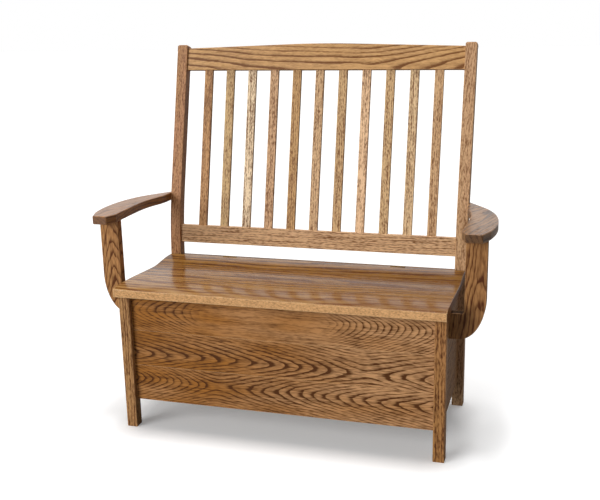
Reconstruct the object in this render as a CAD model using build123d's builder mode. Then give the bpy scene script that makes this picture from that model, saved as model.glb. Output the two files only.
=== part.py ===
from build123d import *

import os
from math import asin, atan, cos, degrees, radians, sin, tan

# Mission settle: an oak storage bench with a slatted back, curved arms and a lid that is the seat.
# Units are millimetres. +X is the sitter's left, seen on the right from the front, +Y points to the
# back and +Z points up. The origin is on the floor, under the middle of the whole piece.
os.makedirs("parts", exist_ok=True)

# Shared by many pieces
edge_ease = 1.2
cut_overrun = 1.0
sides = (("left", -1), ("right", 1))

# Storage box: legs, panels and the space between them
leg_half_span = 521.0
leg_width = 35.0
box_depth = 419.0
box_height = 452.5
panel_ground = 95.5
panel_thickness = 20.0
tongue_length = 5.0
tongue_thickness = 8.0
front_board_count = 3
back_panel_thickness = 12.0
back_panel_inset = 6.0
bottom_thickness = 12.0
bottom_play = 0.5
cleat_size = 20.0
cleat_rise = 2.0

# Back posts: straight, then one long bend, then straight and leaning back
post_overhang = 5.0
post_width = 37.5
post_depth = 36.0
post_height = 1207.0
post_cap_chamfer = 4.5
bend_start_drop = 12.5
bend_radius = 1157.0
lean_deg = 14.0

# Rails and slats of the back
rail_thickness = 22.0
crest_drop = 85.0
crest_end_height = 76.0
crest_slope = 0.03
crest_ridge_half = 110.0
lower_rail_rise = 43.5
lower_rail_height = 62.0
hinge_rail_height = 46.0
hinge_rail_drop = 3.0
rail_tenon_length = 20.0
rail_tenon_thickness = 10.0
rail_tenon_shoulder = 8.0
slat_count = 11
slat_width = 30.0
slat_thickness = 12.0
slat_tenon_length = 12.0

# Lid: glued boards with a scooped top
lid_side_overhang = 3.0
lid_front_overhang = 27.0
lid_gap = 2.0
lid_thickness = 28.0
lid_board_count = 4
lid_nose_radius = 3.0
# Depth share from the front edge, height share of the lid's thickness
lid_top_shares = (
    (0.0, 0.96),
    (0.035, 1.06),
    (0.12, 1.125),
    (0.22, 1.09),
    (0.365, 0.985),
    (0.49, 0.86),
    (0.60, 0.76),
    (0.70, 0.725),
    (0.81, 0.885),
    (0.91, 1.01),
    (1.0, 1.0),
)
batten_width = 45.0
batten_thickness = 18.0
batten_length = 330.0
batten_inset = 130.0
batten_chamfer = 6.0

# Arms and their supports
arm_rise = 217.0
arm_thickness = 27.0
arm_front_set_back = 35.0
arm_length = 439.0
arm_reach = 114.5
arm_edge_chamfer = 2.0
arm_corner_radius = 5.0
# Corners and arc ends of the arm's outline: share of its length from the front end,
# share of its reach out from the post's outer face
arm_front_inner_share = (0.0, 0.323)
arm_front_outer_share = (0.0, 0.742)
arm_clip_end_share = (0.114, 0.904)
arm_widest_share = (0.36, 1.0)
arm_shoulder_share = (0.592, 0.89)
arm_flank_share = (0.86, 0.415)
arm_tail_share = (1.0, 0.03)
arm_end_share = (1.0, 0.0)
arm_contact_share = (0.888, 0.0)
arm_waist_share = (0.49, 0.231)
arm_inner_clip_share = (0.091, 0.201)
# Where the inner edge turns from hollow to round, on the way from the waist to the contact
arm_throat_share = 0.6
support_set_back = 97.0
support_thickness = 28.0
support_inner_gap = 32.0
support_width = 63.0
support_drop = 93.5
support_notch_drop = 12.5
support_notch_radius = 6.0
support_curve_width = 79.0
support_curve_height = 130.0

# Butt hinges between the lid's rear edge and the hinge rail
hinge_count = 2
hinge_spacing = 600.0
hinge_length = 50.0
hinge_knuckles = 3
knuckle_play = 0.3
barrel_radius = 2.4
barrel_clearance = 0.4
pin_radius = 1.2
pin_clearance = 0.08
leaf_thickness = 1.5
leaf_gap = 0.4
leaf_height = 23.0
hinge_axis_rise = 0.3

# Wood screws and dowels of the arms
screw_head_radius = 4.2
screw_head_depth = 2.6
screw_shank_radius = 2.1
screw_length = 55.0
support_screw_spread = 40.0
dowel_radius = 4.0
support_dowel_length = 36.0
support_dowel_spread = 34.0
post_dowel_length = 18.0
post_dowel_share = 0.6

# Places that follow from the sizes above
post_half_span = leg_half_span + post_overhang
lid_half_width = leg_half_span + lid_side_overhang
lid_top = box_height + lid_thickness
bend_start_height = box_height - bend_start_drop
lower_rail_bottom_height = lid_top + lower_rail_rise
crest_bottom_height = post_height - crest_drop
arm_top_height = lid_top + arm_rise
support_bottom_height = box_height - support_drop
support_notch_height = box_height - support_notch_drop
lean = radians(lean_deg)
bend_rise = bend_radius * sin(lean)
bend_set_back = bend_radius * (1 - cos(lean))


def post_face(height):
    """Set-back of the post's front face from its foot, and its lean, at a height."""
    above = height - bend_start_height
    if above <= 0:
        return 0.0, 0.0
    if above < bend_rise:
        angle = asin(above / bend_radius)
        return bend_radius * (1 - cos(angle)), angle
    return bend_set_back + (above - bend_rise) * tan(lean), lean


post_top_set_back = post_face(post_height)[0]
rearmost = box_depth + post_top_set_back + post_depth * cos(lean) - post_cap_chamfer * sin(lean)
leg_front_y = (lid_front_overhang - rearmost) / 2
leg_back_y = leg_front_y + leg_width
post_front_y = leg_front_y + box_depth
leg_inner = leg_half_span - leg_width
post_inner = post_half_span - post_width
panel_recess = leg_width - panel_thickness
side_panel_outer = leg_half_span - panel_recess
side_panel_mid = side_panel_outer - panel_thickness / 2
front_panel_mid_y = leg_front_y + panel_recess + panel_thickness / 2
panel_height = box_height - panel_ground
back_panel_front_y = post_front_y + back_panel_inset
back_panel_mid_y = back_panel_front_y + back_panel_thickness / 2
hinge_rail_top = lid_top - hinge_rail_drop
hinge_rail_bottom = hinge_rail_top - hinge_rail_height
lid_depth = box_depth + lid_front_overhang - lid_gap
lid_front_y = leg_front_y - lid_front_overhang
lid_back_y = lid_front_y + lid_depth
axis_y = (lid_back_y + post_front_y) / 2
axis_z = lid_top + hinge_axis_rise
rail_recess = (post_depth - rail_thickness) / 2
hinge_xs = [hinge_spacing * (number - (hinge_count - 1) / 2) for number in range(hinge_count)]


def write(part, label):
    """Name one finished piece and write it."""
    part.label = label
    export_step(part, f"parts/{label}.step")


def board_plane(height, behind):
    """Plane of a board of the back: X along it, Y up it, its normal facing forward."""
    set_back, angle = post_face(height)
    origin = (
        0,
        post_front_y + set_back + behind * cos(angle),
        height - behind * sin(angle),
    )
    return Plane(origin=origin, x_dir=(1, 0, 0), z_dir=(0, -cos(angle), sin(angle)))


rail_middle = rail_recess + rail_thickness / 2
crest_plane = board_plane(crest_bottom_height, rail_middle)
lower_plane = board_plane(lower_rail_bottom_height + lower_rail_height / 2, rail_middle)
hinge_rail_plane = Plane(
    origin=(0, post_front_y + rail_thickness / 2, hinge_rail_bottom + hinge_rail_height / 2),
    x_dir=(1, 0, 0),
    z_dir=(0, -1, 0),
)
slat_foot = lower_plane.from_local_coords((0, lower_rail_height / 2, 0))
slat_head = crest_plane.from_local_coords((0, 0, 0))
slat_axis = (Vector(slat_head) - Vector(slat_foot)).normalized()
slat_length = (Vector(slat_head) - Vector(slat_foot)).length
slat_plane = Plane(
    origin=slat_foot,
    x_dir=(1, 0, 0),
    z_dir=(0, -slat_axis.Z, slat_axis.Y),
)
slat_pitch = 2 * post_inner / (slat_count + 1)
slat_xs = [slat_pitch * (number - (slat_count - 1) / 2) for number in range(slat_count)]


def tenon_outline(plane, bottom, top):
    """Outline of a rail's tenons, from end to end, on the rail's middle plane."""
    with BuildSketch(plane) as outline:
        with Locations((0, (bottom + top) / 2)):
            Rectangle(2 * (post_inner + rail_tenon_length), top - bottom - 2 * rail_tenon_shoulder)
    return outline.sketch


def slat_outline(xs):
    """Outlines of slats at the given places, with the tenons that enter the rails."""
    with BuildSketch(slat_plane) as outline:
        with Locations([(x, slat_length / 2) for x in xs]):
            Rectangle(slat_width, slat_length + 2 * slat_tenon_length)
    return outline.sketch


rail_tenons = {
    "crest": tenon_outline(crest_plane, 0, crest_end_height),
    "lower": tenon_outline(lower_plane, -lower_rail_height / 2, lower_rail_height / 2),
    "hinge": tenon_outline(hinge_rail_plane, -hinge_rail_height / 2, hinge_rail_height / 2),
}


def screw(plane):
    """A countersunk wood screw whose head is flush with the plane and whose shank runs into it."""
    below = (Align.CENTER, Align.CENTER, Align.MAX)
    with BuildPart(plane) as blank:
        Cone(screw_shank_radius, screw_head_radius, screw_head_depth, align=below)
        Cylinder(screw_shank_radius, screw_length, align=below)
    return blank.part


def group(solids):
    """Join separate solids into one piece."""
    with BuildPart() as blank:
        for solid in solids:
            add(solid)
    return blank.part


# Screws and dowels, which also cut their own holes
def plane_at(x, y, z, direction):
    """Plane at a place, with its normal along a direction."""
    return Plane(origin=(x, y, z), z_dir=direction)


support_mid_y = leg_front_y + support_set_back + support_thickness / 2
support_screw_mid_z = (support_bottom_height + support_notch_height) / 2
support_screws = group(
    screw(
        plane_at(
            side * (side_panel_outer - panel_thickness),
            support_mid_y,
            support_screw_mid_z + step * support_screw_spread / 2,
            (-side, 0, 0),
        )
    )
    for _, side in sides
    for step in (-1, 1)
)

cleat_bottom = panel_ground + cleat_rise
cleat_top = cleat_bottom + cleat_size
cleat_half_length = side_panel_outer - panel_thickness
front_cleat_back_y = leg_back_y + cleat_size
back_cleat_front_y = back_panel_front_y - cleat_size
side_cleat_length = back_cleat_front_y - front_cleat_back_y
batten_mid_y = (leg_back_y + post_front_y) / 2
batten_x = lid_half_width - batten_inset

arm_front_y = leg_front_y + arm_front_set_back
arm_bottom = arm_top_height - arm_thickness
support_inner = post_half_span + support_inner_gap
support_outer = support_inner + support_width
support_mid_x = support_inner + support_width / 2


def dowel(plane, length):
    """A dowel whose middle lies on the plane."""
    with BuildPart(plane) as blank:
        Cylinder(dowel_radius, length)
    return blank.part


support_dowels = group(
    dowel(
        plane_at(
            side * support_mid_x + step * support_dowel_spread / 2,
            support_mid_y,
            arm_bottom,
            (0, 0, 1),
        ),
        support_dowel_length,
    )
    for _, side in sides
    for step in (-1, 1)
)
arm_mid_z = arm_bottom + arm_thickness / 2
arm_meets_post_y = post_front_y + post_face(arm_mid_z)[0]
arm_end_y = arm_front_y + arm_length
post_dowel_y = arm_meets_post_y + (arm_end_y - arm_meets_post_y) * post_dowel_share
post_dowels = group(
    dowel(plane_at(side * post_half_span, post_dowel_y, arm_mid_z, (1, 0, 0)), post_dowel_length)
    for _, side in sides
)

for label, solids in (
    ("support_screws", support_screws),
    ("support_dowels", support_dowels),
    ("post_dowels", post_dowels),
):
    write(solids, label)

# Front legs, grooved for the panels
for name, side in sides:
    with BuildPart() as front_leg:
        with BuildSketch(Plane.XY):
            with Locations((side * (leg_half_span - leg_width / 2), leg_front_y + leg_width / 2)):
                Rectangle(leg_width, leg_width)
        extrude(amount=box_height)
        chamfer(front_leg.faces().sort_by(Axis.Z)[0].edges(), edge_ease)
        chamfer(front_leg.edges().filter_by(Axis.Z), edge_ease)
        with BuildSketch(Plane.XY.offset(panel_ground)):
            with Locations((side * leg_inner, front_panel_mid_y)):
                Rectangle(2 * tongue_length, tongue_thickness)
            with Locations((side * side_panel_mid, leg_back_y)):
                Rectangle(tongue_thickness, 2 * tongue_length)
        extrude(amount=panel_height, mode=Mode.SUBTRACT)
    write(front_leg.part, f"front_leg_{name}")

# Back posts, bent above the seat and cut for panels, rails and arms
for name, side in sides:
    with BuildPart() as back_post:
        with BuildSketch(Plane.YZ.offset(side * post_half_span)):
            with BuildLine():
                foot = (post_front_y, 0)
                bend_foot = (post_front_y, bend_start_height)
                front_bend = CenterArc(
                    (post_front_y + bend_radius, bend_start_height), bend_radius, 180, -lean_deg
                )
                back_bend = CenterArc(
                    (post_front_y + bend_radius, bend_start_height),
                    bend_radius - post_depth,
                    180,
                    -lean_deg,
                )
                front_top = Vector(post_front_y + post_top_set_back, post_height)
                back_top = front_top + Vector(post_depth * cos(lean), -post_depth * sin(lean))
                Line(foot, bend_foot)
                Polyline(front_bend @ 1, front_top, back_top, back_bend @ 1)
                Polyline(back_bend @ 0, (post_front_y + post_depth, 0), foot)
            make_face()
        extrude(amount=-side * post_width)
        chamfer(back_post.faces().sort_by(Axis.Z)[-1].edges(), post_cap_chamfer)
        chamfer(back_post.faces().sort_by(Axis.Z)[0].edges(), edge_ease)
        chamfer(
            back_post.faces().filter_by(Axis.X).edges().filter_by(
                lambda edge: edge.length > 2 * post_depth
            ),
            edge_ease,
        )
        with BuildSketch(Plane.XY.offset(panel_ground)):
            with Locations((side * side_panel_mid, post_front_y)):
                Rectangle(tongue_thickness, 2 * tongue_length)
        extrude(amount=panel_height, mode=Mode.SUBTRACT)
        with BuildSketch(Plane.XY.offset(panel_ground)):
            with Locations((side * post_inner, back_panel_mid_y)):
                Rectangle(2 * tongue_length, back_panel_thickness)
        extrude(amount=hinge_rail_bottom + tongue_length - panel_ground, mode=Mode.SUBTRACT)
        for outline in rail_tenons.values():
            extrude(outline, amount=rail_tenon_thickness / 2, both=True, mode=Mode.SUBTRACT)
        add(post_dowels, mode=Mode.SUBTRACT)
    write(back_post.part, f"back_post_{name}")

# Front of the box, three boards glued edge to edge
front_board_height = panel_height / front_board_count
for number, name in enumerate(("bottom", "middle", "top")):
    with BuildPart() as front_board:
        with BuildSketch(Plane.XY.offset(panel_ground + number * front_board_height)):
            with Locations((0, front_panel_mid_y)):
                Rectangle(2 * leg_inner, panel_thickness)
                Rectangle(2 * (leg_inner + tongue_length), tongue_thickness)
        extrude(amount=front_board_height)
    write(front_board.part, f"front_board_{name}")

# Side panels
side_panel_length = post_front_y - leg_back_y
for name, side in sides:
    with BuildPart() as side_panel:
        with BuildSketch(Plane.XY.offset(panel_ground)):
            with Locations((side * side_panel_mid, leg_back_y + side_panel_length / 2)):
                Rectangle(panel_thickness, side_panel_length)
                Rectangle(tongue_thickness, side_panel_length + 2 * tongue_length)
        extrude(amount=panel_height)
        add(support_screws, mode=Mode.SUBTRACT)
    write(side_panel.part, f"side_panel_{name}")

# Back panel, held in the posts and under the hinge rail
with BuildPart() as back_panel:
    with BuildSketch(Plane.XY.offset(panel_ground)):
        with Locations((0, back_panel_mid_y)):
            Rectangle(2 * (post_inner + tongue_length), back_panel_thickness)
    extrude(amount=hinge_rail_bottom + tongue_length - panel_ground)
write(back_panel.part, "back_panel")

# Box bottom on its four cleats
with BuildPart() as box_bottom:
    bottom_front_y = leg_back_y + bottom_play
    bottom_back_y = back_panel_front_y - bottom_play
    with BuildSketch(Plane.XY.offset(cleat_top)):
        with Locations((0, (bottom_front_y + bottom_back_y) / 2)):
            Rectangle(2 * (cleat_half_length - bottom_play), bottom_back_y - bottom_front_y)
    extrude(amount=bottom_thickness)
write(box_bottom.part, "box_bottom")

for name, mid_y in (
    ("front", leg_back_y + cleat_size / 2),
    ("back", back_panel_front_y - cleat_size / 2),
):
    with BuildPart() as long_cleat:
        with BuildSketch(Plane.XY.offset(cleat_bottom)):
            with Locations((0, mid_y)):
                Rectangle(2 * cleat_half_length, cleat_size)
        extrude(amount=cleat_size)
    write(long_cleat.part, f"cleat_{name}")

for name, side in sides:
    with BuildPart() as side_cleat:
        with BuildSketch(Plane.XY.offset(cleat_bottom)):
            with Locations(
                (side * (cleat_half_length - cleat_size / 2), front_cleat_back_y + side_cleat_length / 2)
            ):
                Rectangle(cleat_size, side_cleat_length)
        extrude(amount=cleat_size)
    write(side_cleat.part, f"cleat_{name}")

# Hinge rail between the posts, behind the lid
leaf_pocket_depth = leaf_thickness - (lid_gap - leaf_gap) / 2
leaf_bottom = axis_z - leaf_height
with BuildPart() as hinge_rail:
    with BuildSketch(hinge_rail_plane):
        Rectangle(2 * post_inner, hinge_rail_height)
    extrude(amount=rail_thickness / 2, both=True)
    extrude(rail_tenons["hinge"], amount=rail_tenon_thickness / 2, both=True)
    with BuildSketch(Plane.XY.offset(hinge_rail_bottom)):
        with Locations((0, back_panel_mid_y)):
            Rectangle(2 * (post_inner + tongue_length), back_panel_thickness)
    extrude(amount=tongue_length, mode=Mode.SUBTRACT)
    with BuildSketch(Plane.XY.offset(leaf_bottom)):
        with Locations([(x, post_front_y) for x in hinge_xs]):
            Rectangle(hinge_length, 2 * leaf_pocket_depth)
    extrude(amount=leaf_height, mode=Mode.SUBTRACT)
write(hinge_rail.part, "hinge_rail")

# Lower back rail, mortised for the slats
with BuildPart() as lower_back_rail:
    with BuildSketch(lower_plane):
        Rectangle(2 * post_inner, lower_rail_height)
    extrude(amount=rail_thickness / 2, both=True)
    chamfer(lower_back_rail.edges().filter_by(Axis.X), edge_ease)
    extrude(rail_tenons["lower"], amount=rail_tenon_thickness / 2, both=True)
    extrude(slat_outline(slat_xs), amount=slat_thickness / 2, both=True, mode=Mode.SUBTRACT)
write(lower_back_rail.part, "lower_back_rail")

# Crest rail: straight below, a shallow gable with a softened ridge above
with BuildPart() as crest_rail:
    with BuildSketch(crest_plane):
        with BuildLine():
            shoulder_height = crest_end_height + crest_slope * (post_inner - crest_ridge_half)
            ridge_height = shoulder_height + crest_ridge_half * tan(atan(crest_slope) / 2)
            Line((-post_inner, crest_end_height), (-crest_ridge_half, shoulder_height))
            ThreePointArc(
                (-crest_ridge_half, shoulder_height),
                (0, ridge_height),
                (crest_ridge_half, shoulder_height),
            )
            Polyline(
                (crest_ridge_half, shoulder_height),
                (post_inner, crest_end_height),
                (post_inner, 0),
                (-post_inner, 0),
                (-post_inner, crest_end_height),
            )
        make_face()
    extrude(amount=rail_thickness / 2, both=True)
    chamfer(crest_rail.edges().filter_by(lambda edge: edge.length > crest_ridge_half), edge_ease)
    extrude(rail_tenons["crest"], amount=rail_tenon_thickness / 2, both=True)
    extrude(slat_outline(slat_xs), amount=slat_thickness / 2, both=True, mode=Mode.SUBTRACT)
write(crest_rail.part, "crest_rail")

# Back slats, tenoned into both rails
for number, x in enumerate(slat_xs, start=1):
    with BuildPart() as back_slat:
        extrude(slat_outline([x]), amount=slat_thickness / 2, both=True)
        chamfer(
            back_slat.edges().filter_by(lambda edge: edge.length > slat_length),
            edge_ease,
        )
    write(back_slat.part, f"back_slat_{number:02d}")

# Arm supports: boards that stand across the bench, come out below the seat and turn up
with BuildPart() as support_blank:
    with BuildSketch(Plane.XZ.offset(-(leg_front_y + support_set_back))):
        with BuildLine():
            curve_centre = (
                support_outer - support_curve_width,
                support_bottom_height + support_curve_height,
            )
            curve = EllipticalCenterArc(
                curve_centre, support_curve_width, support_curve_height, start_angle=-90, arc_size=90
            )
            Polyline(
                curve @ 1,
                (support_outer, arm_bottom),
                (support_inner, arm_bottom),
                (support_inner, support_notch_height),
                (side_panel_outer, support_notch_height),
                (side_panel_outer, support_bottom_height),
                curve @ 0,
            )
        make_face()
    extrude(amount=-support_thickness)
    notch = support_blank.edges().filter_by(Axis.Y).sort_by_distance(
        (support_inner, support_mid_y, support_notch_height)
    )[0]
    fillet(notch, support_notch_radius)
    rim = support_blank.faces().filter_by(Axis.Y).edges().filter_by(
        lambda edge: edge.center().X > side_panel_outer + edge_ease
        and edge.center().Z < arm_bottom - edge_ease
    )
    chamfer(rim, edge_ease)

for name, side in sides:
    with BuildPart() as arm_support:
        if side > 0:
            add(support_blank.part)
        else:
            mirror(support_blank.part, about=Plane.YZ)
        add(support_screws, mode=Mode.SUBTRACT)
        add(support_dowels, mode=Mode.SUBTRACT)
    write(arm_support.part, f"arm_support_{name}")

def arm_point(shares):
    """A point of the arm's outline, along it from its front end and out from the post's face."""
    length_share, reach_share = shares
    return (
        post_half_span + reach_share * arm_reach,
        arm_front_y + length_share * arm_length,
    )


# Arms: flat paddles with clipped front corners and a waist that runs into the post
with BuildPart() as arm_blank:
    with BuildSketch(Plane.XY.offset(arm_bottom)):
        with BuildLine():
            side_curve = ThreePointArc(
                arm_point(arm_clip_end_share), arm_point(arm_widest_share), arm_point(arm_shoulder_share)
            )
            flank = TangentArc(side_curve @ 1, arm_point(arm_flank_share), tangent=side_curve % 1)
            tail = TangentArc(flank @ 1, arm_point(arm_tail_share), tangent=flank % 1)
            contact = Polyline(tail @ 1, arm_point(arm_end_share), arm_point(arm_contact_share))
            waist = Vector(arm_point(arm_waist_share))
            turn = waist + (contact @ 1 - waist) * arm_throat_share
            hollow = TangentArc(waist, turn, tangent=(0, 1))
            TangentArc(turn, contact @ 1, tangent=hollow % 1)
            inner = TangentArc(waist, arm_point(arm_inner_clip_share), tangent=(0, -1))
            Polyline(
                inner @ 1,
                arm_point(arm_front_inner_share),
                arm_point(arm_front_outer_share),
                side_curve @ 0,
            )
        make_face()
    extrude(amount=arm_thickness)
    fillet(
        arm_blank.edges().filter_by(Axis.Z).filter_by(
            lambda edge: edge.center().Y < support_mid_y
        ),
        arm_corner_radius,
    )
    chamfer(arm_blank.faces().filter_by(Axis.Z).edges(), arm_edge_chamfer)

for name, side in sides:
    with BuildPart() as arm:
        if side > 0:
            add(arm_blank.part)
        else:
            mirror(arm_blank.part, about=Plane.YZ)
        add(support_dowels, mode=Mode.SUBTRACT)
        add(post_dowels, mode=Mode.SUBTRACT)
    write(arm.part, f"arm_{name}")

# Lid: one scooped blank, cut into the boards that it is glued from
with BuildPart() as lid_blank:
    with BuildSketch(Plane.YZ):
        with BuildLine():
            top = Spline(
                *[
                    (lid_front_y + depth * lid_depth, box_height + height * lid_thickness)
                    for depth, height in lid_top_shares
                ]
            )
            Polyline(top @ 1, (lid_back_y, box_height), (lid_front_y, box_height), top @ 0)
        make_face()
    extrude(amount=lid_half_width, both=True)
    fillet(lid_blank.faces().sort_by(Axis.Y)[0].edges().filter_by(Axis.X), lid_nose_radius)
    chamfer(lid_blank.faces().filter_by(Axis.X).edges(), edge_ease)
    chamfer(lid_blank.faces().sort_by(Axis.Y)[-1].edges().filter_by(Axis.X), edge_ease)
    with BuildSketch(Plane.XY.offset(leaf_bottom)):
        with Locations([(x, lid_back_y) for x in hinge_xs]):
            Rectangle(hinge_length, 2 * leaf_pocket_depth)
    extrude(amount=leaf_height, mode=Mode.SUBTRACT)
    for x in hinge_xs:
        with BuildSketch(Plane.YZ.offset(x)):
            with Locations((axis_y, axis_z)):
                Circle(barrel_radius + barrel_clearance)
        extrude(amount=hinge_length / 2 + barrel_clearance, both=True, mode=Mode.SUBTRACT)

lid_board_depth = lid_depth / lid_board_count
for number in range(lid_board_count):
    with BuildPart() as lid_board:
        add(lid_blank.part)
        with BuildSketch(Plane.XY):
            with Locations((0, lid_front_y + (number + 0.5) * lid_board_depth)):
                Rectangle(2 * (lid_half_width + cut_overrun), lid_board_depth)
        extrude(amount=2 * lid_top, mode=Mode.INTERSECT)
    write(lid_board.part, f"lid_board_{number + 1}")

# Battens under the lid
for name, side in sides:
    with BuildPart() as batten:
        with BuildSketch(Plane.XY.offset(box_height - batten_thickness)):
            with Locations((side * batten_x, batten_mid_y)):
                Rectangle(batten_width, batten_length)
        extrude(amount=batten_thickness)
        chamfer(batten.faces().sort_by(Axis.Z)[0].edges(), batten_chamfer)
    write(batten.part, f"lid_batten_{name}")

# Butt hinges: two leaves with interleaved knuckles on a pin
knuckle_length = hinge_length / hinge_knuckles
for number, hinge_x in enumerate(hinge_xs, start=1):
    for leaf_name, direction, knuckles in (
        ("rail", 1, range(0, hinge_knuckles, 2)),
        ("lid", -1, range(1, hinge_knuckles, 2)),
    ):
        leaf_mid_y = axis_y + direction * (leaf_gap + leaf_thickness) / 2
        plate_top = axis_z - barrel_radius - barrel_clearance
        knuckle_xs = [
            hinge_x - hinge_length / 2 + (knuckle + 0.5) * knuckle_length for knuckle in knuckles
        ]
        with BuildPart() as leaf:
            with BuildSketch(Plane.XY.offset(leaf_bottom)):
                with Locations((hinge_x, leaf_mid_y)):
                    Rectangle(hinge_length, leaf_thickness)
            extrude(amount=plate_top - leaf_bottom)
            with BuildSketch(Plane.XY.offset(leaf_bottom)):
                with Locations([(x, leaf_mid_y) for x in knuckle_xs]):
                    Rectangle(knuckle_length - knuckle_play, leaf_thickness)
            extrude(amount=axis_z - leaf_bottom)
            for x in knuckle_xs:
                with BuildSketch(Plane.YZ.offset(x)):
                    with Locations((axis_y, axis_z)):
                        Circle(barrel_radius)
                extrude(amount=(knuckle_length - knuckle_play) / 2, both=True)
            with BuildSketch(Plane.YZ.offset(hinge_x)):
                with Locations((axis_y, axis_z)):
                    Circle(pin_radius + pin_clearance)
            extrude(amount=hinge_length / 2, both=True, mode=Mode.SUBTRACT)
        write(leaf.part, f"hinge_{number}_{leaf_name}_leaf")

    with BuildPart() as hinge_pin:
        with BuildSketch(Plane.YZ.offset(hinge_x)):
            with Locations((axis_y, axis_z)):
                Circle(pin_radius)
        extrude(amount=hinge_length / 2, both=True)
    write(hinge_pin.part, f"hinge_{number}_pin")

print("origin: front legs' faces at y =", round(leg_front_y, 3))
print("hinge axis at y, z =", round(axis_y, 3), round(axis_z, 3))
print("overall height", round(post_height, 1), "slat length", round(slat_length, 1))
print("slat lean", round(degrees(asin(slat_axis.Y)), 2))
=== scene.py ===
import math

import bmesh
import bpy
from mathutils import Matrix, Vector


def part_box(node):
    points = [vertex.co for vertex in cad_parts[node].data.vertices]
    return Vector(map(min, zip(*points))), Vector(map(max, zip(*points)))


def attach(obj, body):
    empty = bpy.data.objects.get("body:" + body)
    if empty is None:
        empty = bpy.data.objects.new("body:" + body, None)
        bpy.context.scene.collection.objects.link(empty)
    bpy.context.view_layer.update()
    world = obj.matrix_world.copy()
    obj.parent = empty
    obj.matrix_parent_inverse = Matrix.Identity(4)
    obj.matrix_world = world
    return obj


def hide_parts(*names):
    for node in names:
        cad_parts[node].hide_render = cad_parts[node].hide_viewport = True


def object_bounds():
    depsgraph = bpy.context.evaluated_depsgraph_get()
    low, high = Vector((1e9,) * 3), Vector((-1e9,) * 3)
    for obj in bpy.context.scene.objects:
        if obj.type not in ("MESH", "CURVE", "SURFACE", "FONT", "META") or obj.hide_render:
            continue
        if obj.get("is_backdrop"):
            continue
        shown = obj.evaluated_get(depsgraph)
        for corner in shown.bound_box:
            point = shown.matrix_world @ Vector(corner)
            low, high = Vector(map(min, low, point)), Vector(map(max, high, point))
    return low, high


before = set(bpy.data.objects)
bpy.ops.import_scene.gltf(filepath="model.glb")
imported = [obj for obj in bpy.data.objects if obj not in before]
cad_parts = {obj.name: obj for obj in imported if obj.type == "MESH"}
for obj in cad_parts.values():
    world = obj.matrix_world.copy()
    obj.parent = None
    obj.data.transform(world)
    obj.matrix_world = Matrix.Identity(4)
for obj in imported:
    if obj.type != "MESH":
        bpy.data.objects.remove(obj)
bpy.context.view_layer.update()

# The camera stands right of the middle at chest height and looks slightly down and to the left,
# as the photographer did. Place, angles in radians and lens in millimetres come from a fit to the
# corners of the bench.
camera_place = Vector((0.83334, -2.74725, 1.30594))
camera_turn = 0.29515
camera_dip = 0.25605
camera_roll = -0.02126
camera_lens = 54.186
camera_sensor = 36.0
camera_reach = 60.0

ahead = Vector(
    (
        -math.sin(camera_turn) * math.cos(camera_dip),
        math.cos(camera_turn) * math.cos(camera_dip),
        -math.sin(camera_dip),
    )
)
level = Vector((math.cos(camera_turn), math.sin(camera_turn), 0))
upward = level.cross(ahead)
camera_right = level * math.cos(camera_roll) + upward * math.sin(camera_roll)
camera_up = upward * math.cos(camera_roll) - level * math.sin(camera_roll)
camera_data = bpy.data.cameras.new("studio_camera")
camera_data.lens = camera_lens
camera_data.sensor_width = camera_sensor
camera_data.clip_end = camera_reach
camera = bpy.data.objects.new("studio_camera", camera_data)
bpy.context.scene.collection.objects.link(camera)
camera.matrix_world = Matrix.Translation(camera_place) @ Matrix(
    (camera_right, camera_up, -ahead)
).transposed().to_4x4()
bpy.context.scene.camera = camera
bpy.context.scene.view_settings.view_transform = "Standard"


# The studio: a white room, with one soft lamp nearly overhead and one low in front on the left.
# The room counts in full where the camera or a gloss sees it, and lights the wood far less.
def linear(hex_colour):
    """An sRGB hex colour as the linear colour that a socket takes."""
    channels = [int(hex_colour[place:place + 2], 16) / 255 for place in (1, 3, 5)]
    return [c / 12.92 if c <= 0.04045 else ((c + 0.055) / 1.055) ** 2.4 for c in channels] + [1.0]


def add_node(tree, kind, settings, output=0):
    """Adds a node and returns one of its outputs. The settings are its properties and its inputs,
    by name or number, and an input whose value is another node's output is linked to it."""
    node = tree.nodes.new(kind)
    for key, value in settings.items():
        if isinstance(value, bpy.types.NodeSocket):
            tree.links.new(value, node.inputs[key])
        elif isinstance(key, int) or key in node.inputs:
            node.inputs[key].default_value = value
        else:
            setattr(node, key, value)
    return node.outputs[output] if node.outputs else None


room_light = 0.12
world = bpy.data.worlds.new("white_room")
bpy.context.scene.world = world
world.use_nodes = True
tree = world.node_tree
tree.nodes.clear()
to_camera = add_node(tree, "ShaderNodeLightPath", {}, "Is Camera Ray")
to_gloss = to_camera.node.outputs["Is Glossy Ray"]
seen = add_node(tree, "ShaderNodeMath", {"operation": "MAXIMUM", 0: to_camera, 1: to_gloss})
strength = add_node(tree, "ShaderNodeMapRange", {"To Min": room_light, "To Max": 1.0, "Value": seen})
glow = add_node(tree, "ShaderNodeBackground", {"Color": (1, 1, 1, 1), "Strength": strength})
add_node(tree, "ShaderNodeOutputWorld", {"Surface": glow})

# name, strength, height and turn to the left in degrees, and how wide the soft light is
for name, power, height, turn, width in (
    ("overhead_lamp", 2.6, 87.0, 165.0, 19.0),
    ("front_lamp", 2.5, 16.0, 38.0, 40.0),
):
    lamp_data = bpy.data.lights.new(name, "SUN")
    lamp_data.energy = power
    lamp_data.angle = math.radians(width)
    lamp = bpy.data.objects.new(name, lamp_data)
    rise, left = math.radians(height), math.radians(turn)
    toward_lamp = Vector(
        (-math.sin(left) * math.cos(rise), -math.cos(left) * math.cos(rise), math.sin(rise))
    )
    lamp.rotation_mode = "QUATERNION"
    lamp.rotation_quaternion = toward_lamp.to_track_quat("Z", "Y")
    bpy.context.scene.collection.objects.link(lamp)


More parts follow.
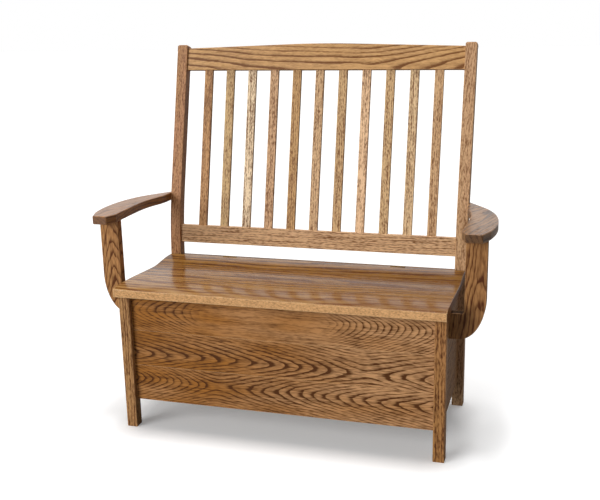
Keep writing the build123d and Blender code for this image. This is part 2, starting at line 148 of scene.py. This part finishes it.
# The floor: a sheet of matt white paper, laid flat under the bench. It looks nearly white with a
# soft grey shadow, and throws less light back on the wood than its own white would.
def empty_material(name):
    """A material without nodes, and its node tree."""
    material = bpy.data.materials.new(name)
    material.use_nodes = True
    material.node_tree.nodes.clear()
    return material, material.node_tree


def finished(shape, name, material, body=None):
    """Turns a bmesh into an object at the origin, with its material and body."""
    mesh = bpy.data.meshes.new(name)
    bmesh.ops.recalc_face_normals(shape, faces=shape.faces)
    shape.to_mesh(mesh)
    shape.free()
    piece = bpy.data.objects.new(name, mesh)
    bpy.context.scene.collection.objects.link(piece)
    mesh.materials.append(material)
    if body:
        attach(piece, body)
    return piece


floor_size = 60.0
floor_white = "#F2F2F2"
floor_bounce = "#8C8C8C"
floor_glow = 0.2

paper, tree = empty_material("white_paper_floor")
to_camera = add_node(tree, "ShaderNodeLightPath", {}, "Is Camera Ray")
paper_tone = add_node(
    tree,
    "ShaderNodeMix",
    {"data_type": "RGBA", 0: to_camera, 6: linear(floor_bounce), 7: linear(floor_white)},
    2,
)
matt = add_node(tree, "ShaderNodeBsdfDiffuse", {"Color": paper_tone})
lift = add_node(tree, "ShaderNodeMath", {"operation": "MULTIPLY", 0: to_camera, 1: floor_glow})
shine = add_node(tree, "ShaderNodeEmission", {"Strength": lift})
both = add_node(tree, "ShaderNodeAddShader", {0: matt, 1: shine})
add_node(tree, "ShaderNodeOutputMaterial", {"Surface": both})

shape = bmesh.new()
bmesh.ops.create_grid(shape, x_segments=1, y_segments=1, size=floor_size / 2)
finished(shape, "floor", paper)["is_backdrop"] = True


# The storage box: two square front legs with three flat-sawn boards let in between them, glued
# edge to edge. The top board's peaks point to both ends from a plain middle, and the peaks of the
# other two meet at one point along the board.
def board_place(node, along, face):
    """Centre and turn of a board: X along the grain, Y across it and Z out of its face."""
    low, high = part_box(node)
    run, out = Vector(along).normalized(), Vector(face).normalized()
    turn = Matrix((run, out.cross(run), out)).transposed()
    return (low + high) / 2, turn


# The wood is red oak, stained medium brown and sealed with a satin lacquer. The year rings are
# real rings about the log's heart, cut by each board's own face, so a face that runs along the
# heart shows nested peaks and one far from it shows straight lines. Open pores run with the grain.

# Sizes of the patterns in metres: along the grain, across it and into the board
pore_length, pore_width = 0.022, 0.003  # real pores are 0.3 mm wide; drawn so that they show
streak_size = (0.10, 0.004, 0.004)
band_size = (0.5, 0.011, 0.011)
blotch_size = (0.0288, 0.018, 0.018)
tint_size = (0.25, 0.05, 0.05)
patch_size = (0.14, 0.03, 0.03)
speck_size = (0.006, 0.003, 0.003)
sway_size = (0.4, 0.07, 0.07)
ripple_size = (0.045, 0.013, 0.013)

# How far the slow sway and the quick ripple move a ring, in years
sway_reach, ripple_reach = 2.6, 0.95
seed_spread = 3.7  # keeps the patterns of neighbouring seeds apart

# How dark the wood is through a year: a sharp dark start that fades to the pale late wood
year_edge = 0.9
year_steps = ((0.04, 1.0), (0.13, 0.9), (0.23, 0.5), (0.35, 0.16), (0.5, 0.0), (0.93, 0.0))

# How dark the wood is between its marks, and how much each pattern adds
plain_dark, streak_weight, pore_weight = 0.25, 1.1, 1.2
band_weight, blotch_weight, ring_weight = 0.8, 0.55, 0.95

# How much the patterns swing, about which middle, and the least that is left of a ring
patch_swing, patch_middle, patch_least = 1.8, 0.95, 0.45
tint_swing, tint_middle = 1.6, 0.5
speck_swing, speck_middle = 1.7, 0.22
calm_start, calm_end = 0.75, 1.35  # shares of calm where the rings come in and are in full

# How squarely a face looks to an end or a side before it counts as one, and in full
end_start, end_full, side_start, side_full = 0.6, 0.95, 0.8, 0.95
# How far the end grain darkens, and how far an own end tone takes over, which adds painted shade
end_stain, own_end_stain_and_shade = 0.65, 0.9

# How far a rounded edge leaves its face before it takes the edge tone, and in full; a light edge
# tone is a painted highlight, partly also wear
wear_and_highlight_start, wear_and_highlight_full, wear_and_highlight_share, wear_and_highlight_lean = 0.995, 0.85, 0.7, 0.1

# Pores deeper than the first value are open and sink into the lacquer, which they and the end
# grain make rougher
open_start, open_full = 0.06, 0.2
pore_depth, pore_relief = 0.0004, 0.3
pore_rough, end_rough = 0.2, 0.5


def oak(name, place, tones, heart=(0.0, -0.08), bend=0.0, apex=0.0, soft=0.12, slope=0.02, ring=0.0055,
        wander=1.0, curl=1.0, calm=0.0, line=1.0, fine=1.0, dash=1.0, blotch=1.0, spots=1.0, drift=0.0,
        gloss=0.42, shine=0.18, wear_and_highlight_width=0.003, wear_and_highlight_tone="#CFA272", wear_and_highlight_side=None, side_speck_and_light_tone=None,
        end_grain_and_shade_tone=None, seed=0.0):
    """Stained oak for one board. The tones are two light ones and the dark of the early wood, and
    drift says how much of the second light tone comes in along the board.
    The heart of the log lies across the face and behind it. The rings run out towards both ends
    from the apex: bend says how fast, soft how gently they turn there, and slope how fast they run
    out one way. ring is the width of a year, wander how far the rings stray, curl how long their
    ripples are, and calm how far from the apex they stay faint.
    line, fine and blotch are the strength of rings, pores and uneven stain, dash the length of the
    pores, and spots the share of small spots in the stain.
    Rounded edges within the edge width take the edge tone, or only those that lean to the edge side:
    a light edge tone is a painted highlight along the arris, partly also wear, and a dark one marks
    dark joints. The side tone tints the narrow sides lighter, with specks: the specks are the cut
    pores, the lightness is painted light that makes up for the light a narrow side misses. The end
    tone darkens the ends further, as painted shade."""
    centre, turn = place
    first_light, second_light, early_dark = [linear(tone) for tone in tones]
    material, tree = empty_material(name)
    where = add_node(tree, "ShaderNodeTexCoord", {}, "Object")
    normal = where.node.outputs["Normal"]
    local = add_node(
        tree,
        "ShaderNodeMapping",
        {
            "vector_type": "TEXTURE",
            "Location": centre + turn @ Vector((apex, *heart)),
            "Rotation": turn.to_euler(),
            "Vector": where,
        },
    )

    def grain(size, detail, offset):
        """A pattern that swings about zero; the offset keeps the patterns of a board apart."""
        stretched = add_node(tree, "ShaderNodeVectorMath", {"operation": "DIVIDE", 0: local, 1: size})
        settings = {"noise_dimensions": "4D", "Vector": stretched, "Scale": 1.0, "Detail": detail}
        noise = add_node(tree, "ShaderNodeTexNoise", {**settings, "W": seed * seed_spread + offset}, "Fac")
        return add_node(tree, "ShaderNodeMath", {"operation": "SUBTRACT", 0: noise, 1: 0.5})

    # distance from the log's heart, with the run-out along the board, counted in years
    across = add_node(tree, "ShaderNodeVectorMath", {"operation": "MULTIPLY", 0: local, 1: (0, 1, 1)})
    radius = add_node(tree, "ShaderNodeVectorMath", {"operation": "LENGTH", 0: across}, "Value")
    run = add_node(tree, "ShaderNodeSeparateXYZ", {0: local}, "X")
    square = add_node(tree, "ShaderNodeMath", {"operation": "MULTIPLY_ADD", 0: run, 1: run, 2: soft * soft})
    from_apex = add_node(tree, "ShaderNodeMath", {"operation": "SQRT", 0: square})
    reach = add_node(tree, "ShaderNodeMath", {"operation": "MULTIPLY_ADD", 0: from_apex, 1: bend, 2: radius})
    reach = add_node(tree, "ShaderNodeMath", {"operation": "MULTIPLY_ADD", 0: run, 1: slope, 2: reach})
    sway = grain(sway_size, 1.0, 0.0)
    sway = add_node(tree, "ShaderNodeMath", {"operation": "MULTIPLY", 0: sway, 1: sway_reach * wander})
    ripple = grain([size * curl for size in ripple_size], 2.0, 3.1)
    stray = add_node(
        tree, "ShaderNodeMath", {"operation": "MULTIPLY_ADD", 0: ripple, 1: ripple_reach * wander, 2: sway}
    )
    years = add_node(tree, "ShaderNodeMath", {"operation": "MULTIPLY_ADD", 0: reach, 1: 1 / ring, 2: stray})
    year = add_node(tree, "ShaderNodeMath", {"operation": "FRACT", 0: years})
    early = add_node(tree, "ShaderNodeValToRGB", {"Fac": year}, "Color")
    steps = early.node.color_ramp.elements
    for step in (steps[0], steps[-1]):
        step.color = (year_edge, year_edge, year_edge, 1)
    for part, share in year_steps:
        step = steps.new(part)
        step.color = (share, share, share, 1)

    # rings show most where the cut lies flat to them, and fade in patches
    flat_cut = add_node(tree, "ShaderNodeMath", {"operation": "DIVIDE", 0: -heart[1], 1: radius})
    flat_cut = add_node(tree, "ShaderNodeMath", {"operation": "MINIMUM", 0: flat_cut, 1: 1.0})
    flat_cut = add_node(tree, "ShaderNodeMath", {"operation": "POWER", 0: flat_cut, 1: 0.5})
    patchy = grain(patch_size, 1.0, 6.6)
    patchy = add_node(
        tree, "ShaderNodeMath", {"operation": "MULTIPLY_ADD", 0: patchy, 1: patch_swing, 2: patch_middle}
    )
    patchy = add_node(tree, "ShaderNodeMath", {"operation": "MAXIMUM", 0: patchy, 1: patch_least})
    lines = add_node(tree, "ShaderNodeMath", {"operation": "MULTIPLY", 0: early, 1: flat_cut})
    lines = add_node(tree, "ShaderNodeMath", {"operation": "MULTIPLY", 0: lines, 1: patchy})
    if calm:
        distance = add_node(tree, "ShaderNodeMath", {"operation": "ABSOLUTE", 0: run})
        limits = {"From Min": calm * calm_start, "From Max": calm * calm_end, "Value": distance}
        faint = add_node(tree, "ShaderNodeMapRange", {"interpolation_type": "SMOOTHSTEP", **limits})
        lines = add_node(tree, "ShaderNodeMath", {"operation": "MULTIPLY", 0: lines, 1: faint})

    # pores and streaks along the grain, and stain that took unevenly
    pore = grain((pore_length * dash, pore_width, pore_width), 1.0, 12.9)
    dark = plain_dark
    for pattern, weight in (
        (grain(streak_size, 3.0, 5.7), streak_weight * fine),
        (pore, pore_weight * fine),
        (grain(band_size, 2.0, 9.3), band_weight * blotch),
        (grain(blotch_size, 3.0, 15.2), blotch_weight * blotch * spots),
        (lines, ring_weight * line),
    ):
        dark = add_node(tree, "ShaderNodeMath", {"operation": "MULTIPLY_ADD", 0: pattern, 1: weight, 2: dark})
    second = grain(tint_size, 1.0, 21.4)
    second = add_node(
        tree,
        "ShaderNodeMath",
        {"operation": "MULTIPLY_ADD", 0: second, 1: tint_swing, 2: tint_middle + drift * apex},
    )
    second = add_node(tree, "ShaderNodeMath", {"operation": "MULTIPLY_ADD", 0: run, 1: drift, 2: second})
    both_lights = {0: second, 6: first_light, 7: second_light}
    light = add_node(tree, "ShaderNodeMix", {"data_type": "RGBA", **both_lights}, 2)
    colour = add_node(tree, "ShaderNodeMix", {"data_type": "RGBA", 0: dark, 6: light, 7: early_dark}, 2)

    # end grain drinks more stain: darker and duller; an own end tone, as on the supports, darkens it
    # further as painted shade
    toward_end = add_node(
        tree, "ShaderNodeVectorMath", {"operation": "DOT_PRODUCT", 0: normal, 1: turn.col[0]}, "Value"
    )
    toward_end = add_node(tree, "ShaderNodeMath", {"operation": "ABSOLUTE", 0: toward_end})
    end_stain_and_shade = own_end_stain_and_shade if end_grain_and_shade_tone else end_stain
    limits = {"From Min": end_start, "From Max": end_full, "To Max": end_stain_and_shade, "Value": toward_end}
    end_grain = add_node(tree, "ShaderNodeMapRange", {"interpolation_type": "SMOOTHSTEP", **limits})
    end_dark = linear(end_grain_and_shade_tone) if end_grain_and_shade_tone else early_dark
    colour = add_node(tree, "ShaderNodeMix", {"data_type": "RGBA", 0: end_grain, 6: colour, 7: end_dark}, 2)

    # a narrow side cuts across the rings and shows its pores as specks; its lighter side tone is
    # painted light, making up for the light a narrow side gets less of than the top
    if side_speck_and_light_tone:
        toward_side = add_node(
            tree, "ShaderNodeVectorMath", {"operation": "DOT_PRODUCT", 0: normal, 1: turn.col[1]}, "Value"
        )
        toward_side = add_node(tree, "ShaderNodeMath", {"operation": "ABSOLUTE", 0: toward_side})
        limits = {"From Min": side_start, "From Max": side_full, "Value": toward_side}
        side_speck_and_light_share = add_node(tree, "ShaderNodeMapRange", {"interpolation_type": "SMOOTHSTEP", **limits})
        speck = grain(speck_size, 2.0, 30.1)
        speck = add_node(
            tree, "ShaderNodeMath", {"operation": "MULTIPLY_ADD", 0: speck, 1: speck_swing, 2: speck_middle}
        )
        speckled = {0: speck, 6: linear(side_speck_and_light_tone), 7: early_dark}
        side = add_node(tree, "ShaderNodeMix", {"data_type": "RGBA", **speckled}, 2)
        colour = add_node(tree, "ShaderNodeMix", {"data_type": "RGBA", 0: side_speck_and_light_share, 6: colour, 7: side}, 2)

    # edges: a light edge tone is a painted highlight along the rounded arris, partly also rubbed by
    # hands and cloths, and a dark one marks dark joints
    rounded = add_node(tree, "ShaderNodeBevel", {"samples": 4, "Radius": wear_and_highlight_width})
    change = {"vector_type": "NORMAL", "convert_from": "WORLD", "convert_to": "OBJECT"}
    rounded = add_node(tree, "ShaderNodeVectorTransform", {**change, 0: rounded})
    kept = add_node(
        tree, "ShaderNodeVectorMath", {"operation": "DOT_PRODUCT", 0: rounded, 1: normal}, "Value"
    )
    limits = {"From Min": wear_and_highlight_start, "From Max": wear_and_highlight_full, "To Max": wear_and_highlight_share, "Value": kept}
    wear_and_highlight = add_node(tree, "ShaderNodeMapRange", limits)
    if wear_and_highlight_side:
        leans = add_node(
            tree, "ShaderNodeVectorMath", {"operation": "DOT_PRODUCT", 0: rounded, 1: wear_and_highlight_side}, "Value"
        )
        leans = add_node(tree, "ShaderNodeMath", {"operation": "GREATER_THAN", 0: leans, 1: wear_and_highlight_lean})
        wear_and_highlight = add_node(tree, "ShaderNodeMath", {"operation": "MULTIPLY", 0: wear_and_highlight, 1: leans})
    wear_and_highlight_mix = {0: wear_and_highlight, 6: colour, 7: linear(wear_and_highlight_tone)}
    colour = add_node(tree, "ShaderNodeMix", {"data_type": "RGBA", **wear_and_highlight_mix}, 2)

    # lacquer, which the open pores and the end grain break up
    limits = {"From Min": open_start, "From Max": open_full, "Value": pore}
    open_pore = add_node(tree, "ShaderNodeMapRange", limits)
    dents = {"invert": True, "Strength": pore_relief, "Distance": pore_depth, "Height": open_pore}
    bump = add_node(tree, "ShaderNodeBump", dents)
    rough = add_node(
        tree, "ShaderNodeMath", {"operation": "MULTIPLY_ADD", 0: open_pore, 1: pore_rough, 2: gloss}
    )
    rough = add_node(
        tree, "ShaderNodeMath", {"operation": "MULTIPLY_ADD", 0: end_grain, 1: end_rough, 2: rough}
    )
    lacquer = {"IOR": 1.5, "Metallic": 0.0, "Specular IOR Level": shine}
    wood = {"Base Color": colour, "Roughness": rough, "Normal": bump}
    surface = add_node(tree, "ShaderNodeBsdfPrincipled", {**lacquer, **wood})
    add_node(tree, "ShaderNodeOutputMaterial", {"Surface": surface})
    return material


def dress(node, material):
    """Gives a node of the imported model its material."""
    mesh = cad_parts[node].data
    mesh.materials.clear()
    mesh.materials.append(material)


along_x, along_y, along_z = (1, 0, 0), (0, 1, 0), (0, 0, 1)
front, back, top = (0, -1, 0), (0, 1, 0), (0, 0, 1)
hands = (("left", -1), ("right", 1))
golden, rosy, early_brown = "#AC7030", "#CC9A6A", "#542E0E"

for hand, side, tones in (
    ("left", -1, ("#C0905A", "#C09060", "#5C3214")),
    ("right", 1, ("#B28048", "#B88252", "#522A10")),
):
    leg = f"front_leg_{hand}"
    place = board_place(leg, along_z, front)
    dress(leg, oak(f"{leg}_oak", place, tones, heart=(0.05 * side, -0.05), slope=0.01, seed=2.0 + side,
                   line=0.8, fine=2.0, dash=0.6, blotch=0.6))

for height, figure in (
    ("top", dict(heart=(0.011, -0.034), bend=0.28, apex=-0.04, soft=0.06, slope=0.03, ring=0.0064,
                 calm=0.22, wander=1.1, curl=2.3, line=1.05, blotch=1.3, seed=11.0)),
    ("middle", dict(heart=(-0.016, -0.010), bend=-0.185, apex=0.28, soft=0.03, slope=0.0, ring=0.0100,
                    curl=1.8, line=1.7, seed=23.0)),
    ("bottom", dict(heart=(0.012, -0.012), bend=-0.265, apex=-0.21, soft=0.03, slope=0.065, ring=0.0088,
                    curl=1.8, line=1.55, seed=37.0)),
):
    board = f"front_board_{height}"
    place = board_place(board, along_x, front)
    dress(board, oak(f"{board}_oak", place, (golden, rosy, early_brown), fine=1.4, drift=1.2, **figure))

# The sides and back of the box are single oak boards, grain level, let into the legs and posts.
# The sides are duller than the front, because they are rubbed less, and their tones are painted
# darker, as shade.
for hand, side in hands:
    panel = f"side_panel_{hand}"
    place = board_place(panel, along_y, (side, 0, 0))
    dress(panel, oak(f"{panel}_oak", place, ("#9A6C38", "#9E7248", "#442206"), heart=(0.03, -0.1), bend=0.08,
                     seed=41.0 + side, gloss=0.5))
place = board_place("back_panel", along_x, back)
dress("back_panel", oak("back_panel_oak", place, (golden, rosy, early_brown), heart=(0.02, -0.15), bend=0.1,
                        seed=47.0))

# The two back posts stand upright to the seat and lean back above it. They are of rift-sawn oak,
# whose lines run straight up the face.
post_lean = math.radians(8)
for hand, side, tones in (
    ("left", -1, ("#B88A58", "#B6805A", "#663B1E")),
    ("right", 1, ("#CBA57A", "#C79B76", "#7C5433")),
):
    post = f"back_post_{hand}"
    place = board_place(post, (0, math.sin(post_lean), math.cos(post_lean)), front)
    dress(post, oak(f"{post}_oak", place, tones, heart=(0.08 * side, -0.06), slope=0.01, seed=51.0 + side,
                    line=0.5, fine=2.0, dash=0.45, blotch=0.7))

# Crest rail, lower rail and the hinge rail behind the lid, all of oak and tenoned into the posts.
# The crest shows a few long wavy rings, the lower rail nearly none. Both are painted paler than
# the box, as painted light and painted sheen that the leaning back catches.
back_lean = math.radians(14)
lean_face = (0, -math.cos(back_lean), math.sin(back_lean))
lean_run = (0, math.sin(back_lean), math.cos(back_lean))
for rail, face, tones, figure in (
    ("crest_rail", lean_face, ("#D4A469", "#D0A26E", "#6E431C"),
     dict(heart=(-0.055, -0.05), bend=-0.09, apex=0.2, soft=0.06, slope=-0.05, ring=0.0120, seed=61.0,
          wander=0.6, curl=2.0, line=1.15, fine=0.8, dash=0.6, blotch=0.5)),
    ("lower_back_rail", lean_face, ("#D9B082", "#D8B088", "#7A5230"),
     dict(heart=(0.12, -0.10), seed=63.0, line=0.5, fine=2.2, dash=0.7, blotch=0.7)),
    ("hinge_rail", front, (golden, rosy, early_brown), dict(heart=(0.1, -0.12), bend=0.02, seed=67.0)),
):
    dress(rail, oak(f"{rail}_oak", board_place(rail, along_x, face), tones, **figure))

# Eleven back slats of straight-grained oak, tenoned into the crest and the lower rail. Each comes
# from another stick, so their tints differ, and all are painted paler than the box, as painted
# light and painted sheen that the leaning back catches.
slat_tints = ("#C2925F", "#CCAA78", "#F2D8B2", "#D4AA80", "#C59B66", "#D6B084", "#CFAA7A", "#EAC298",
              "#D6B282", "#DFBE92", "#D0A87C")
slat_dark = "#704624"
for number, tint in enumerate(slat_tints, start=1):
    slat = f"back_slat_{number:02d}"
    place = board_place(slat, lean_run, lean_face)
    dress(slat, oak(f"{slat}_oak", place, (tint, tint, slat_dark), heart=(0.06 + 0.01 * (number % 3), -0.05),
                    slope=0.01, seed=70.0 + number, line=0.5, fine=2.2, dash=0.45, blotch=0.9,
                    wear_and_highlight_width=0.0012))

# Arm supports stand across the bench and turn up outside the seat, with peaks up the front face.
# The arms are flat oak paddles, doweled on top of them and to the posts, and polished by hands.
# The supports' ends are painted nearly black: darker end grain, and painted shade under the lid and the arms.
support_end_grain_and_shade = "#1C0E05"
arm_worn = "#9C6A3C"
arm_run = (0.35, 1, 0)  # the grain of a paddle lies a little across it
for hand, side, tones, arm_tones, arm_shine, figure in (
    ("left", -1, ("#C69056", "#C28C58", "#5E310F"), ("#A67138", "#9C6833", "#623B1A"), 0.6,
     dict(heart=(0.0165, -0.010), slope=0.22, ring=0.0100, wander=1.5, curl=1.4, line=1.2, fine=1.3,
          blotch=0.7)),
    ("right", 1, ("#B4824E", "#B07E4E", "#542A0E"), ("#92693E", "#8C6238", "#462A10"), 0.4,
     dict(heart=(-0.045, -0.014), slope=0.13, ring=0.0140, wander=1.9, curl=2.2, line=1.3, fine=1.2,
          blotch=1.3)),
):
    support = f"arm_support_{hand}"
    place = board_place(support, along_z, front)
    dress(support, oak(f"{support}_oak", place, tones, seed=81.0 + side, end_grain_and_shade_tone=support_end_grain_and_shade, **figure))
    arm = f"arm_{hand}"
    place = board_place(arm, arm_run, top)
    dress(arm, oak(f"{arm}_oak", place, arm_tones, heart=(0.03 * side, -0.06), slope=0.06, ring=0.012,
                   seed=85.0 + side, wander=1.2, curl=2.0, line=1.2, fine=1.1, dash=1.5, blotch=1.4,
                   gloss=0.28, shine=arm_shine, wear_and_highlight_tone=arm_worn))

# The lid is glued up from four oak boards and scooped on top, with two battens screwed under it.
# The lacquer is rubbed smoother here, so the seat mirrors the back a little. Only the front edge
# gets a light painted highlight along its arris, and its narrow front face a lighter painted tone
# with the specks of its pores; the joints between the boards are as dark as the early wood.
inside_tones = ("#C39A6C", "#C49C72", "#8B633F")
for number, tones, wear_and_highlight_tone, figure in (
    (1, ("#A87E4A", "#8C6438", "#6E4016"), "#EAC492",
     dict(heart=(0.09, -0.07), bend=0.04, side_speck_and_light_tone="#EAB67E", wear_and_highlight_width=0.007, wear_and_highlight_side=front)),
    (2, ("#A87C44", "#88602E", "#64380E"), "#64380E", dict(heart=(0.08, -0.06), bend=0.05)),
    (3, ("#9E7038", "#7A5426", "#5A300A"), "#5A300A", dict(heart=(-0.06, -0.05), bend=0.03)),
    (4, ("#9A6E34", "#7C5628", "#542C08"), "#542C08", dict(heart=(0.07, -0.06), bend=0.02)),
):
    board = f"lid_board_{number}"
    place = board_place(board, along_x, top)
    dress(board, oak(f"{board}_oak", place, tones, seed=90.0 + number, ring=0.021, wander=0.9, drift=1.2,
                     line=1.9, fine=1.7, dash=2.0, blotch=2.2, spots=0.25, curl=2.5, gloss=0.17, shine=0.17,
                     wear_and_highlight_tone=wear_and_highlight_tone, **figure))
for hand, side in hands:
    batten = f"lid_batten_{hand}"
    place = board_place(batten, along_y, (0, 0, -1))
    dress(batten, oak(f"{batten}_oak", place, inside_tones, seed=97.0 + side, line=0.5, gloss=0.5))

# Inside the box: a plain, lightly finished bottom board that rests on four cleats, which are
# screwed to the walls.
for name, run in (
    ("box_bottom", along_x),
    ("cleat_front", along_x),
    ("cleat_back", along_x),
    ("cleat_left", along_y),
    ("cleat_right", along_y),
):
    place = board_place(name, run, top)
    dress(name, oak(f"{name}_oak", place, inside_tones, heart=(0.05, -0.2), bend=0.04,
                    seed=101.0 + len(name), line=0.5, gloss=0.5))

# Dowels locate the arms on the supports and against the posts, and are hidden in the joints. They
# are of bare birch, pale and nearly without figure.
birch_tones = ("#D9BE95", "#D9BE95", "#C2A277")
for name in ("support_dowels", "post_dowels"):
    place = board_place(name, along_z, front)
    dress(name, oak(f"{name}_birch", place, birch_tones, line=0.1, gloss=0.6))


# Two butt hinges behind the lid, each on a steel pin. Their brass has darkened with age to a dull
# brown, and the countersunk screws of the leaves are of the same brass, with worn, brighter heads.
def metal(name, colours, rough, grain_width):
    """Metal with a fine uneven finish; grain_width is the size of its marks."""
    material, tree = empty_material(name)
    where = add_node(tree, "ShaderNodeTexCoord", {}, "Object")
    marks = add_node(
        tree, "ShaderNodeTexNoise", {"Vector": where, "Scale": 1 / grain_width, "Detail": 3.0}, "Fac"
    )
    limits = {"To Min": rough - 0.1, "To Max": rough + 0.1, "Value": marks}
    roughness = add_node(tree, "ShaderNodeMapRange", limits)
    bright, dull = [linear(colour) for colour in colours]
    tone = add_node(tree, "ShaderNodeMix", {"data_type": "RGBA", 0: marks, 6: bright, 7: dull}, 2)
    finish = {"Metallic": 1.0, "Base Color": tone, "Roughness": roughness}
    surface = add_node(tree, "ShaderNodeBsdfPrincipled", finish)
    add_node(tree, "ShaderNodeOutputMaterial", {"Surface": surface})
    return material


brass = metal("darkened_brass", ("#6E5734", "#4C3B26"), 0.5, 0.004)
# zinc-plated steel is a cool light grey with a soft sheen
steel = metal("zinc_plated_steel", ("#B9BABC", "#94969A"), 0.35, 0.003)
for number in (1, 2):
    for leaf in ("rail_leaf", "lid_leaf"):
        dress(f"hinge_{number}_{leaf}", brass)
    dress(f"hinge_{number}_pin", steel)


def drive(shape, seat, into, size, turned):
    """Adds a countersunk screw with a cross recess, whose floor takes the second material: a painted
    shade that stands for the depth of the recess. seat is where its middle meets the surface, into
    the way it is driven, and turned how far its recess is turned. size is the radius of head and
    shank, the length, and how far the head stands proud."""
    radius, shank, length, proud = size
    cross_outline = (0.75, 0.73, 0.34, 0.27, 0.34, 0.73)  # every 15 degrees, as a share of the head
    old = set(shape.verts)
    rim = bmesh.ops.create_circle(shape, cap_ends=True, segments=24, radius=radius)["verts"]
    crown = rim[0].link_faces[0]
    for drop, width in ((radius - shank, shank), (length - 2 * shank, shank), (length, shank / 8)):
        edges = [edge for edge in shape.edges if edge.is_boundary]
        grown = bmesh.ops.extrude_edge_only(shape, edges=edges)["geom"]
        ring = [item for item in grown if isinstance(item, bmesh.types.BMVert)]
        for corner in ring:
            flat = corner.co.xy.normalized() * width
            corner.co = (flat.x, flat.y, -drop)
    bmesh.ops.holes_fill(shape, edges=[edge for edge in shape.edges if edge.is_boundary])
    bmesh.ops.inset_region(shape, faces=[crown], thickness=radius * 0.1)
    for corner in crown.verts:
        step = round(math.degrees(math.atan2(corner.co.y, corner.co.x)) / 15) % 6
        corner.co.xy *= cross_outline[step]
    bmesh.ops.inset_region(shape, faces=[crown], thickness=proud / 4, depth=-proud * 0.9)
    # the floor of the recess takes the painted shade
    crown.material_index = 1
    place = Vector(seat) - Vector(into) * proud
    stand = Matrix.Translation(place) @ Vector(into).to_track_quat("-Z", "Y").to_matrix().to_4x4()
    fresh = [corner for corner in shape.verts if corner not in old]
    bmesh.ops.transform(shape, matrix=stand @ Matrix.Rotation(turned, 4, "Z"), verts=fresh)


leaf_screw = (0.0028, 0.0014, 0.016, 0.00015)
hinge_plane = 0.127172  # where the leaves meet, behind the middle of the bench
leaf_face = 0.0002  # from that plane to the face of a leaf
leaf_screw_height = 0.4679
leaf_screw_step = 0.017
screw_brass = metal("worn_screw_brass", ("#94794A", "#705A34"), 0.4, 0.002)
# painted shade: the floor of each shallow cross recess is nearly black and dull, for the shade of
# a deep one
recess_shade = metal("painted_shade_in_recess", ("#1C1712", "#2A231B"), 0.8, 0.001)
for name, body, toward in (("rail_leaf_screws", "frame", 1), ("lid_leaf_screws", "lid", -1)):
    shape = bmesh.new()
    for number in (1, 2):
        low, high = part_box(f"hinge_{number}_rail_leaf")
        for along in (-leaf_screw_step, 0.0, leaf_screw_step):
            seat = ((low.x + high.x) / 2 + along, hinge_plane + toward * leaf_face, leaf_screw_height)
            drive(shape, seat, (0, toward, 0), leaf_screw, 40 * along + number)
    finished(shape, name, screw_brass, body).data.materials.append(recess_shade)

# Five plated steel screws go through each batten into the lid. They are countersunk and their
# cross recesses stand at different turns, as hand-driven screws do.
batten_screw = (0.0036, 0.0018, 0.030, 0.0003)
shape = bmesh.new()
for hand, side in hands:
    low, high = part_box(f"lid_batten_{hand}")
    for number in range(5):
        seat = ((low.x + high.x) / 2, low.y + (high.y - low.y) * (0.1 + 0.2 * number), low.z)
        drive(shape, seat, (0, 0, 1), batten_screw, 0.9 * number + side)
finished(shape, "batten_screws", steel, "lid").data.materials.append(recess_shade)

# Steel screws 2 mm shorter than those hold the cleats to the walls of the box: five through each
# long cleat and three through each short one, spread evenly.
cleat_screw = (0.0036, 0.0018, 0.028, 0.0003)
shape = bmesh.new()
for name, into, count in (
    ("cleat_front", (0, -1, 0), 5),
    ("cleat_back", (0, 1, 0), 5),
    ("cleat_left", (-1, 0, 0), 3),
    ("cleat_right", (1, 0, 0), 3),
):
    low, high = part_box(name)
    middle, half = (low + high) / 2, (high - low) / 2
    run = Vector((abs(into[1]), abs(into[0]), 0))
    half_thickness = half.dot([abs(part) for part in into])
    for number in range(count):
        share = (2 * number + 1) / count - 1
        seat = middle + run * half.dot(run) * share - Vector(into) * half_thickness
        drive(shape, seat, into, cleat_screw, 1.1 * number)
finished(shape, "cleat_screws", steel, "frame").data.materials.append(recess_shade)

# Two longer steel screws from inside the box hold each arm support. They take the place of the
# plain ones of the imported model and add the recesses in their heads.
support_screw = (0.0042, 0.0021, 0.055, 0.0003)
wall_face = 0.486  # inner face of the box's side, from the middle of the bench
support_screw_heights = (0.3795, 0.4195)
shape = bmesh.new()
low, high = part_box("support_screws")
for hand, side in hands:
    for height in support_screw_heights:
        seat = (side * wall_face, (low.y + high.y) / 2, height)
        drive(shape, seat, (side, 0, 0), support_screw, height * 30)
screws = finished(shape, "arm_support_screws", steel, "frame")
screws.data.materials.append(recess_shade)
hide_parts("support_screws")

low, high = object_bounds()
